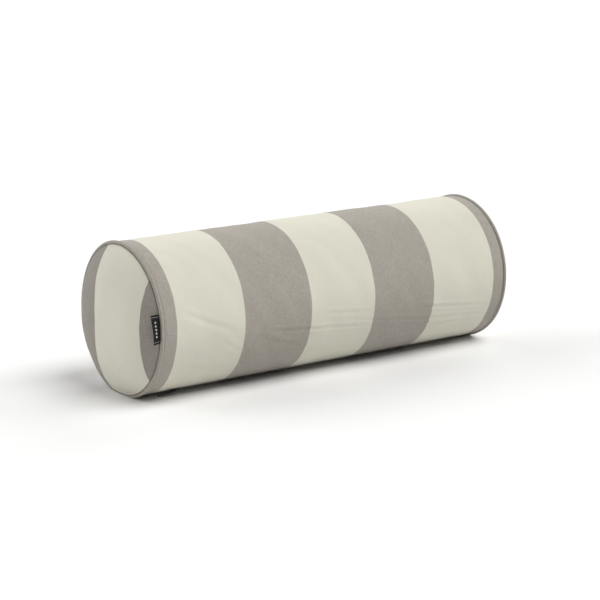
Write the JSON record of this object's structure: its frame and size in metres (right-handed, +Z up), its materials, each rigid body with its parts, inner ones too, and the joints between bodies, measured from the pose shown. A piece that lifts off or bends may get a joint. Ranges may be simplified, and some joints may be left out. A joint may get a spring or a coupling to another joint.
{
  "type": "bolster pillow",
  "caption": "Round bolster pillow with broad stripes, piped end seams, domed ends, a zip along its underside and a wadded foam insert.",
  "frame": {"origin": "on the surface that the pillow lies on, under the middle of the pillow", "axes": "+X along the pillow from the labelled end to the plain end, +Z up, zip on the underside towards -Y"},
  "size_m": [0.609, 0.2034, 0.1997],
  "materials": {
    "striped_cloth": "woven outdoor cloth with cream and greige block stripes, matt with a soft sheen",
    "piping_cloth": "greige woven strip cut on the bias, matt",
    "cord": "braided filler cord, off-white",
    "thread": "polyester sewing thread, slight shine",
    "zip_tape": "black herringbone zip tape",
    "zip_plastic": "black moulded zip teeth",
    "zip_metal": "black enamelled zinc",
    "woven_label": "black satin-woven label with plain woven edge lines",
    "care_label": "white satin ribbon label, blank",
    "liner": "white plain-weave liner cloth",
    "wadding": "white polyester wadding, fluffy",
    "foam": "pale yellow open-cell foam"
  },
  "bodies": {
    "pillow": {"cover_sleeve": "striped_cloth", "end_panel_left": "striped_cloth", "end_panel_right": "striped_cloth", "piping_cover_left": "piping_cloth", "piping_cover_right": "piping_cloth", "piping_cord_left": "cord", "piping_cord_right": "cord", "seam_thread_left": "thread", "seam_thread_right": "thread", "zip_tape_front": "zip_tape", "zip_tape_rear": "zip_tape", "zip_teeth_front": "zip_plastic", "zip_teeth_rear": "zip_plastic", "zip_top_stops": "zip_plastic", "zip_bottom_stop": "zip_plastic", "zip_thread_front": "thread", "zip_thread_rear": "thread", "brand_label": "woven_label", "care_label": "care_label", "liner_sleeve": "liner", "liner_end_left": "liner", "liner_end_right": "liner", "wadding_wrap": "wadding", "wadding_disc_left": "wadding", "wadding_disc_right": "wadding", "foam_core": "foam"},
    "slider": {"zip_slider": "zip_metal"},
    "pull": {"zip_pull_tab": "zip_metal"}
  },
  "joints": [
    {"name": "zip_slide", "type": "slide", "parent": "pillow", "child": "slider", "axis": [1, 0, 0], "range_m": [0, 0.449], "deforming": ["zip_teeth_front", "zip_teeth_rear"]},
    {"name": "pull_tab_hinge", "type": "hinge", "parent": "slider", "child": "pull", "pos_m": [-0.227, -0.04149, 0.00482], "axis": [0, -0.9135, 0.4067], "range_deg": [-5, 168]}
  ]
}
